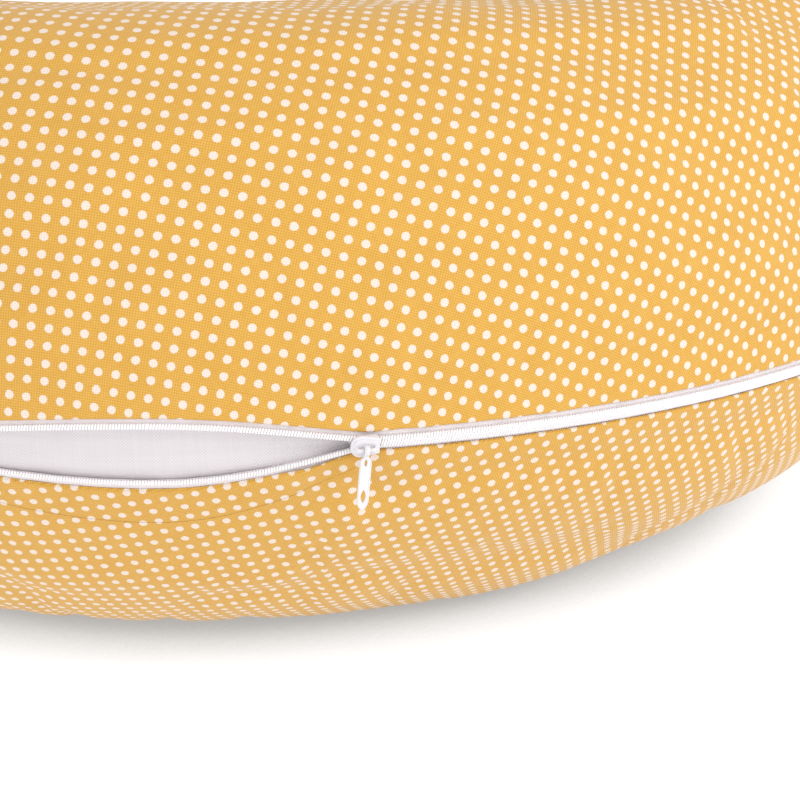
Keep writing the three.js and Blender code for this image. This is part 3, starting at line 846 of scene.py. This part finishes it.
def make_liner_panel(name, side, material):
    """The inner cushion's seam lies a little above the cover's, so the lower panel laps over the ridge."""
    angle = COLUMNS[::2, :1]
    tip = COLUMNS[::2, 1:]
    length = chain_of[side]["length"]
    first = side * LINER_SEAM
    away = runs((0, 40 * MM, 2.2 * MM), (40 * MM, length, 7 * MM))[None, :] * (length - first) / length
    s = first + away + 0 * angle
    depth = COVER + GAP + LINER_SLACK + pressed(angle, np.abs(s))
    lift = liner_crumple(angle, s) * smooth((length - s) / 0.006) * np.cos(tip)
    outer = depth - lift + (roll(away) + roll(length - s)) * np.cos(tip)
    faces = []
    onto, over_ridge = np.maximum(s, 0), np.maximum(-s, 0)
    for layer in (outer, outer + LINER):
        own = skin(angle, tip, side, onto, layer - stands_out(angle, tip, side, onto),
                   SEAM_GAP / 2 * (s > length - 1 * MM))
        over = skin(angle, tip, -side, over_ridge, layer - stands_out(angle, tip, -side, over_ridge))
        faces.append(np.where((s < 0)[..., None], over, own))
    pattern = np.broadcast_to(flat_pattern(angle, tip, side, s), faces[0].shape[:2] + (2,))
    return make_mesh(name, np.stack(faces), shell_faces(*faces[0].shape[:2]), material,
                     np.stack([pattern, pattern]))


def make_filling(material):
    """The carded fibre, one soft body in both panels."""
    angle = COLUMNS[::3, :1]
    tip = COLUMNS[::3, 1:]
    grids = []
    for side in (1, -1):
        length = chain_of[side]["length"]
        s = runs((0, length, 8 * MM))[None, :] + 0 * angle
        depth = COVER + GAP + LINER + FILLING_DEPTH + pressed(angle, s)
        tufts = 0.9 * MM * ripples(s + angle * 0.002, side, (0.033, 0.051)) * ripples(
            angle * RAD * 0.2 - s * 0.3, 0.5, (0.027, 0.043))
        tufts = tufts * smooth(s / 0.02) * smooth((length - s) / 0.02) + stands_out(angle, tip, side, s)
        grids.append(skin(angle, tip, side, s, depth - tufts))
    ring = np.concatenate([grids[0], grids[1][:, -2:0:-1]], axis=1)
    return make_mesh("fibre_filling_stuffing", ring, ring_faces(*ring.shape[:2]), material)


# ---- The zip ----

def seam_points(angle, s, depth):
    """Points beside the seam line: s is positive above it and negative below."""
    angle, s, depth = np.broadcast_arrays(angle, s, depth)
    above = skin(angle, 0.0, 1, np.abs(s), depth)
    below = skin(angle, 0.0, -1, np.abs(s), depth)
    return np.where((s < 0)[..., None], below, above)


def make_tape(name, side, angles, material):
    """Woven tape beside the coil: its near edge is bound round, its far edge lies under the cover."""
    angle = angles[:, None]
    x = runs((0, 1, 0.25), (1, TAPE_WIDTH, 0.8))[None, :] * MM
    s = mouth(angle, side) + TAPE_EDGE + x
    half = TAPE / 2 * np.sqrt(np.clip(1 - (1 - np.clip(x / TAPE_BOUND, 0, 1)) ** 2, 0.02, 1))
    wave = 0.05 * MM * np.sin(angle * RAD * SEAM_RADIUS / (1.9 * MM))
    wave = wave - stands_out(angle, 0.0, side, s) * smooth((x - 2 * MM) / (4 * MM))
    faces = [seam_points(angle, side * s, TAPE_DEPTH + TAPE / 2 + way * half + wave) for way in (-1, 1)]
    along = np.stack(np.broadcast_arrays(angle * RAD * SEAM_RADIUS, s), -1)
    return make_mesh(name, np.stack(faces), shell_faces(*faces[0].shape[:2]), material,
                     np.stack([along, along]))


def coil_tree():
    """Geometry nodes: loops of wire set along a guide line, each turned to the line and to its side."""
    tree = bpy.data.node_groups.new("coil_row", "GeometryNodeTree")
    sockets = {}
    for name, kind in (("Geometry", "Geometry"), ("Pitch", "Float"), ("Wide", "Float"), ("High", "Float"),
                       ("Wire", "Float"), ("Lean", "Float"), ("Material", "Material")):
        item = tree.interface.new_socket(name=name, in_out="INPUT", socket_type="NodeSocket" + kind)
        sockets[name] = item.identifier
    tree.interface.new_socket(name="Geometry", in_out="OUTPUT", socket_type="NodeSocketGeometry")
    given = tree.nodes.new("NodeGroupInput").outputs
    guide = node(tree, "GeometryNodeMeshToCurve", Mesh=given["Geometry"])
    spaced = node(tree, "GeometryNodeResampleCurve", {"mode": "LENGTH"}, Curve=guide.outputs[0],
                  Length=given["Pitch"])
    points = node(tree, "GeometryNodeCurveToPoints", {"mode": "EVALUATED"}, Curve=spaced.outputs[0])
    side = node(tree, "GeometryNodeInputNamedAttribute", {"data_type": "FLOAT_VECTOR"}, Name="across")
    along = node(tree, "FunctionNodeAlignEulerToVector", {"axis": "Z"}, Vector=points.outputs["Tangent"])
    turned = node(tree, "FunctionNodeAlignEulerToVector", {"axis": "X", "pivot_axis": "Z"},
                  Rotation=along.outputs[0], Vector=side.outputs["Attribute"])

    ring = node(tree, "GeometryNodeCurvePrimitiveCircle", {"mode": "RADIUS"}, Resolution=14, Radius=1.0)
    size = node(tree, "ShaderNodeCombineXYZ", X=given["Wide"], Y=given["High"], Z=1.0)
    place = node(tree, "GeometryNodeInputPosition").outputs[0]
    scaled = node(tree, "ShaderNodeVectorMath", {"operation": "MULTIPLY"}, i0=place, i1=size.outputs[0])
    part = node(tree, "ShaderNodeSeparateXYZ", Vector=scaled.outputs[0])
    lean = node(tree, "ShaderNodeMath", {"operation": "MULTIPLY"}, i0=part.outputs["X"], i1=given["Lean"])
    bent = node(tree, "ShaderNodeCombineXYZ", X=part.outputs["X"], Y=part.outputs["Y"], Z=lean.outputs[0])
    oval = node(tree, "GeometryNodeSetPosition", Geometry=ring.outputs[0], Position=bent.outputs[0])
    wire = node(tree, "GeometryNodeCurvePrimitiveCircle", {"mode": "RADIUS"}, Resolution=6,
                Radius=given["Wire"])
    loop = node(tree, "GeometryNodeCurveToMesh", Curve=oval.outputs[0])
    tree.links.new(wire.outputs[0], loop.inputs["Profile Curve"])

    placed = node(tree, "GeometryNodeInstanceOnPoints", Points=points.outputs[0], Instance=loop.outputs[0],
                  Rotation=turned.outputs[0])
    real = node(tree, "GeometryNodeRealizeInstances", Geometry=placed.outputs[0])
    rounded = node(tree, "GeometryNodeSetShadeSmooth", Geometry=real.outputs[0])
    finished = node(tree, "GeometryNodeSetMaterial", Geometry=rounded.outputs[0], Material=given["Material"])
    output = tree.nodes.new("NodeGroupOutput")
    tree.links.new(finished.outputs[0], output.inputs[0])
    return tree, sockets


def along_guide(name, points, across, tree, sockets, values):
    """Runs a node tree on a guide line and returns the result as a plain mesh object."""
    mesh = bpy.data.meshes.new(name)
    mesh.from_pydata(points.tolist(), [(i, i + 1) for i in range(len(points) - 1)], [])
    attribute = mesh.attributes.new("across", "FLOAT_VECTOR", "POINT")
    attribute.data.foreach_set("vector", across.astype(np.float32).ravel())
    made = bpy.data.objects.new(name, mesh)
    bpy.context.scene.collection.objects.link(made)
    modifier = made.modifiers.new("row", "NODES")
    modifier.node_group = tree
    for key, value in values.items():
        modifier[sockets[key]] = value
    evaluated = made.evaluated_get(bpy.context.evaluated_depsgraph_get())
    finished = bpy.data.meshes.new_from_object(evaluated)
    made.modifiers.clear()
    made.data = finished
    finished.name = name
    return made


def make_coil(name, side, angles, offset, reach, tree, sockets, material):
    """One half of the coil: turns of filament, flattened, along the tape's bound edge. Joined halves reach
    past the seam line, between each other's turns."""
    s = mouth(angles, side) + COIL_INNER + COIL_WIDTH / 2 - reach / 2
    points = seam_points(angles + offset, side * s, COIL_DEPTH + COIL_HEIGHT / 2)
    outward = seam_points(angles + offset, side * (s + 1 * MM), COIL_DEPTH + COIL_HEIGHT / 2) - points
    across = outward / np.linalg.norm(outward, axis=-1, keepdims=True)
    return along_guide(name, points, across, tree, sockets, {
        "Pitch": COIL_PITCH, "Wide": (COIL_WIDTH + reach) / 2 - COIL_WIRE,
        "High": COIL_HEIGHT / 2 - COIL_WIRE, "Wire": COIL_WIRE, "Lean": COIL_LEAN * side,
        "Material": material})


def make_bartack(name, angle, way, tree, sockets, material):
    """Close stitches over the end of the zip."""
    centre = angle + way * degrees(GAP + TACK_LENGTH / 2)
    heights = np.linspace(-(SLOT_HALF - GAP) + 0.3 * MM, SLOT_HALF - GAP - 0.3 * MM, 24)
    points = seam_points(centre, heights, TAPE_DEPTH - GAP - STITCH_HEIGHT)
    sideways = seam_points(centre + 0.2, heights, TAPE_DEPTH) - seam_points(centre, heights, TAPE_DEPTH)
    across = sideways / np.linalg.norm(sideways, axis=-1, keepdims=True)
    return along_guide(name, points, across, tree, sockets, {
        "Pitch": STITCH_PITCH, "Wide": TACK_LENGTH / 2 - 0.25 * MM, "High": STITCH_HEIGHT,
        "Wire": STITCH_WIRE, "Lean": 0.1, "Material": material})


# ---- The slider and its pull, drawn in millimetres ----

def curved(start, control, end, count=10):
    """Points of a quadratic curve, without its first one."""
    t = (np.arange(count) + 1)[:, None] / count
    a, b, c = (np.array(p, float) for p in (start, control, end))
    return ((1 - t) ** 2 * a + 2 * t * (1 - t) * b + t ** 2 * c).tolist()


def drawn(lines, closed=True, flat=True, extrude=0.0, bevel=0.0):
    """Vertices and faces of a curve: a filled outline with rounded edges, or a wire along a line."""
    data = bpy.data.curves.new("drawn", "CURVE")
    data.dimensions = "2D" if flat else "3D"
    data.fill_mode = "BOTH" if flat else "FULL"
    data.extrude = extrude
    data.bevel_depth = bevel
    data.bevel_resolution = 3
    data.use_fill_caps = not flat
    data.offset = -bevel if flat else 0
    for line in lines:
        line = [tuple(p) + (0,) * (3 - len(p)) for p in line]
        spline = data.splines.new("POLY")
        spline.points.add(len(line) - 1)
        spline.points.foreach_set("co", np.array([(*p, 1) for p in line]).ravel())
        spline.use_cyclic_u = closed
    made = bpy.data.objects.new("drawn", data)
    bpy.context.scene.collection.objects.link(made)
    mesh = bpy.data.meshes.new_from_object(made.evaluated_get(bpy.context.evaluated_depsgraph_get()))
    points = np.array([v.co for v in mesh.vertices])
    faces = [list(face.vertices) for face in mesh.polygons]
    bpy.data.objects.remove(made)
    bpy.data.meshes.remove(mesh)
    bpy.data.curves.remove(data)
    return points, faces


def standing(part, y):
    """Turns a flat part drawn in X and Y to stand in X and Z at a distance from the seam."""
    points, faces = part
    return points[:, [0, 2, 1]] * (1, -1, 1) + (0, y, 0), faces


def lathed(profile, count=28):
    """A ring round the X axis from a closed profile of (x, radius) points."""
    turn = np.linspace(0, 2 * math.pi, count, endpoint=False)[:, None]
    x, r = np.array(profile).T
    points = np.stack(np.broadcast_arrays(x[None], r[None] * np.cos(turn), r[None] * np.sin(turn)), -1)
    index = np.arange(count * len(profile)).reshape(count, -1)
    up, on = np.roll(index, -1, 0), np.roll(index, -1, 1)
    return points.reshape(-1, 3), np.stack([index, on, np.roll(up, -1, 1), up], -1).reshape(-1, 4).tolist()


def gathered(name, parts, place, material):
    """Joins parts drawn in millimetres into one object at its place."""
    points, faces = [], []
    for part_points, part_faces in parts:
        start = sum(len(p) for p in points)
        points.append(part_points)
        faces.extend([[start + i for i in face] for face in part_faces])
    stacked = np.concatenate(points) * MM
    turned = stacked @ np.array(place.to_3x3()).T + np.array(place.translation)
    made = make_mesh(name, turned, faces, material, weld=1e-7)
    work = bmesh.new()
    work.from_mesh(made.data)
    bmesh.ops.recalc_face_normals(work, faces=work.faces)
    work.to_mesh(made.data)
    work.free()
    return made


def slider_places():
    """Where the slider and the pull are drawn: X along the zip, -Y outward, Z up the pillow."""
    round_c = Matrix.Translation(Vector(CENTRE)) @ Matrix.Rotation(SLIDER_ANGLE * RAD, 4, "Z")
    seat = round_c @ Matrix.Translation((0, -SEAM_RADIUS, SEAM_HEIGHT))
    seat = seat @ Matrix.Rotation(-RIDGE * RAD, 4, "X")
    hinge = seat @ Vector((0, (SLIDER_TOP - CROWN_HEIGHT) * MM, 0))
    pull = Matrix.Translation(hinge) @ Matrix.Rotation(SLIDER_ANGLE * RAD, 4, "Z")
    pull = pull @ Matrix.Rotation(PULL_LEAN * RAD, 4, "Y")
    return seat, pull


def plate_outline(half):
    """The slider's plate: a round nose over the closing mouth, narrowing to a square tail."""
    nose, tail = -SLIDER_LENGTH / 2, SLIDER_LENGTH / 2
    shoulder = (nose + 0.38 * SLIDER_LENGTH, half)
    top = [(tail, 0.72 * half - 0.4)]
    top += curved(top[0], (tail, 0.72 * half), (tail - 0.5, 0.74 * half), 4)
    top += [shoulder] + curved(shoulder, (nose + 0.02 * SLIDER_LENGTH, half), (nose, 0), 12)
    return top + [(x, -z) for x, z in reversed(top[:-1])]


def make_slider(place, material):
    nose = -SLIDER_LENGTH / 2
    parts = []
    for half, middle, thick in ((SLIDER_HALF, SLIDER_TOP - SLIDER_PLATE / 2, SLIDER_PLATE),
                                (UNDER_HALF, UNDER_TOP + UNDER_PLATE / 2, UNDER_PLATE)):
        bevel = 0.36 * thick
        parts.append(standing(drawn([plate_outline(half)], extrude=thick / 2 - bevel, bevel=bevel), middle))
    raised = [(0.86 * x, 0.78 * z) for x, z in plate_outline(SLIDER_HALF)]
    parts.append(standing(drawn([raised], extrude=0.2, bevel=0.16), SLIDER_TOP - SLIDER_PLATE - 0.12))
    wedge = [(nose + 0.4, 0), (nose + 1.1, POST_HALF), (nose + 2.4, 0), (nose + 1.1, -POST_HALF)]
    parts.append(standing(drawn([wedge], extrude=(UNDER_TOP - SLIDER_TOP) / 2 + 0.2, bevel=0.05),
                          (UNDER_TOP + SLIDER_TOP) / 2))
    across = (COIL_INNER + COIL_WIDTH + GAP) / MM + 0.05 + FLANGE / 2
    length = SLIDER_LENGTH / 2 - 0.1
    for way in (1, -1):
        wall = [(-0.4, way * across - FLANGE / 2), (length - 0.4, way * across - FLANGE / 2),
                (length - 0.4, way * across + FLANGE / 2), (-0.4, way * across + FLANGE / 2)]
        parts.append(standing(drawn([wall], extrude=0.5, bevel=0.12), SLIDER_TOP + 0.45))

    top, root, bend = SLIDER_TOP - CROWN_HEIGHT, SLIDER_TOP - SLIDER_PLATE / 2, 1.1
    arch = [(-CROWN_HALF - 0.25, root)] + curved((-CROWN_HALF - 0.2, top + bend + 0.6), (-CROWN_HALF, top),
                                                 (-CROWN_HALF + bend, top))
    arch += curved((CROWN_HALF - bend, top), (CROWN_HALF, top), (CROWN_HALF + 0.2, top + bend + 0.6))
    arch.append((CROWN_HALF + 0.25, root))
    bridge, bridge_faces = drawn([arch], closed=False, flat=False, bevel=CROWN_WIRE)
    widened = 1 + 0.5 * smooth((bridge[:, 1] - top - 0.4) / 1.6)
    parts.append((np.stack([bridge[:, 0], bridge[:, 1], bridge[:, 2] * 1.25 * widened], -1), bridge_faces))
    return gathered("slider_casting", parts, place, material)


def make_pull(place, material):
    inner, outer, wide = EYE_HOLE, EYE_HOLE + EYE_WALL, EYE_WIDTH / 2
    soft = 0.22
    ring = [(-wide, inner + soft), (-wide, outer - soft), (-wide + soft, outer), (wide - soft, outer),
            (wide, outer - soft), (wide, inner + soft), (wide - soft, inner), (-wide + soft, inner)]
    neck, shoulder, foot = wide, -outer - 1.6, -PULL_LENGTH + 2.6
    right = [(neck, -inner - EYE_WALL / 2), (neck, -outer - 0.3)]
    right += curved((neck, -outer - 0.3), (neck + 0.25, -outer - 0.8),
                    (PULL_HALF - 0.15, shoulder + 0.45), 6)
    right += curved((PULL_HALF - 0.15, shoulder + 0.45), (PULL_HALF, shoulder),
                    (PULL_HALF, shoulder - 0.6), 4)
    right += [(PULL_HALF, foot)] + curved((PULL_HALF, foot), (0.8 * PULL_HALF, -PULL_LENGTH + 0.7),
                                          (0, -PULL_LENGTH), 12)
    outline = right + [(-x, z) for x, z in reversed(right[:-1])]
    hole_top, hole_foot = foot + 3.4, foot - 0.4
    bulge = 0.8 * PULL_HALF
    pointed = [(0, hole_top)] + curved((0, hole_top), (bulge, (hole_top + hole_foot) / 2), (0, hole_foot))
    pointed += [(-x, z) for x, z in reversed(pointed[1:-1])]
    round_slit = np.linspace(0, 2 * math.pi, 21)[:-1]
    slit = [(0.36 * math.sin(a), shoulder - 0.35 + 0.95 * math.cos(a)) for a in round_slit]
    bevel = 0.3
    plate = standing(drawn([outline, pointed, slit], extrude=PULL_THICK / 2 - 0.12 - bevel, bevel=bevel), 0)
    rim = [(x * (PULL_HALF - 0.36) / PULL_HALF, z + 0.36 * np.clip((foot - z) / 2, 0, 1)) for x, z in outline
           if z < -outer - 0.6]
    bead, bead_faces = drawn([[(x, 0, z) for x, z in rim]], closed=True, flat=False, bevel=0.33)
    bead = bead * (1, 1.6, 1)
    return gathered("pull_casting", [lathed(ring), plate, (bead, bead_faces)], place, material)


# ---- The assembly ----

def seam_place(angle, side=1, s=0.0):
    return tuple(skin(np.array(float(angle)), 0.0, side, np.array(float(s))))


def finished(piece, body, slot, nodes, bends=None):
    """Puts a piece on the body it rides on or, when bends is given, only bakes its place into its points;
    it hides the CAD nodes it replaces. slot is not used.
    """
    if bends:
        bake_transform(piece)
    else:
        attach(piece, body)
    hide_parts(*nodes)


make_camera()
make_stage()
settled = settle_cover()

cotton = {1: printed_cotton("printed_cotton_top", PRINT_TURN_TOP),
          -1: printed_cotton("printed_cotton_bottom", PRINT_TURN_BOTTOM)}
ticking, wadding = ticking_cotton(), polyester_wadding()
tape_cloth, filament, enamel = polyester_tape(), nylon_filament(), stove_enamel()
row_tree, row_sockets = coil_tree()
word = {1: "upper", -1: "lower"}
panel_node = {1: "cover_top_panel", -1: "cover_bottom_panel"}
liner_node = {1: "liner_top_panel", -1: "liner_bottom_panel"}
bends = {"left": (seam_place(ZIP_START), seam_place(-1)),
         "right": (seam_place(SLIDER_ANGLE + BEND_PAST), seam_place(BEND_PAST))}
halves = {"left": runs((ZIP_START, 0, 0.4)), "right": runs((0, SLIDER_ANGLE, 0.3))}
closed_run = runs((SLIDER_ANGLE, ZIP_END, 0.4))

for side in (1, -1):
    panel = make_cover_panel(panel_node[side].replace("panel", "cloth"), side, cotton[side])
    finished(panel, "root", "cotton", [panel_node[side]])
    liner = make_liner_panel(liner_node[side].replace("panel", "cloth"), side, ticking)
    finished(liner, "root", "ticking", [liner_node[side]])
    for half, angles in halves.items():
        lip = word[side] + "_lip"
        hem = make_lip_hem(f"{word[side]}_hem_{half}", side, half, cotton[side])
        finished(hem, lip, "cotton", [panel_node[side]], bends[half])
        tape = make_tape(f"{word[side]}_tape_{half}", side, angles, tape_cloth)
        finished(tape, lip, "zip_tape", [f"{word[side]}_tape_open"], bends[half])
        inset = COIL_PITCH / 2 if half == "right" else 0
        coil_angles = angles[angles > ZIP_START + degrees(2 * GAP + TACK_LENGTH)]
        coil = make_coil(f"{word[side]}_coil_{half}", side, coil_angles, degrees(inset), 0.0, row_tree,
                         row_sockets, filament)
        finished(coil, lip, "zip_coil", [f"{word[side]}_coil_open"], bends[half])
    tape = make_tape(f"{word[side]}_tape_joined", side, closed_run, tape_cloth)
    finished(tape, "root", "zip_tape", [f"{word[side]}_tape_closed"])
    coil_angles = closed_run[closed_run < ZIP_END - degrees(2 * GAP + TACK_LENGTH + COIL_PITCH)]
    coil = make_coil(f"{word[side]}_coil_joined", side, coil_angles, degrees(COIL_PITCH / 4 * (side + 1)),
                     COIL_MESH, row_tree, row_sockets, filament)
    finished(coil, "root", "zip_coil", [f"{word[side]}_coil_closed"])

filling = make_filling(wadding)
finished(filling, "root", "wadding", ["fibre_filling"])
for name, angle, way in (("start", ZIP_START, 1), ("end", ZIP_END, -1)):
    tack = make_bartack(name + "_stitches", angle, way, row_tree, row_sockets, filament)
    finished(tack, "root", "zip_coil", [name + "_bartack"])

slider_place, pull_place = slider_places()
finished(make_slider(slider_place, enamel), "zip_slider", "enamel", ["slider_body"])
finished(make_pull(pull_place, enamel), "zip_pull", "enamel", ["pull_tab"])
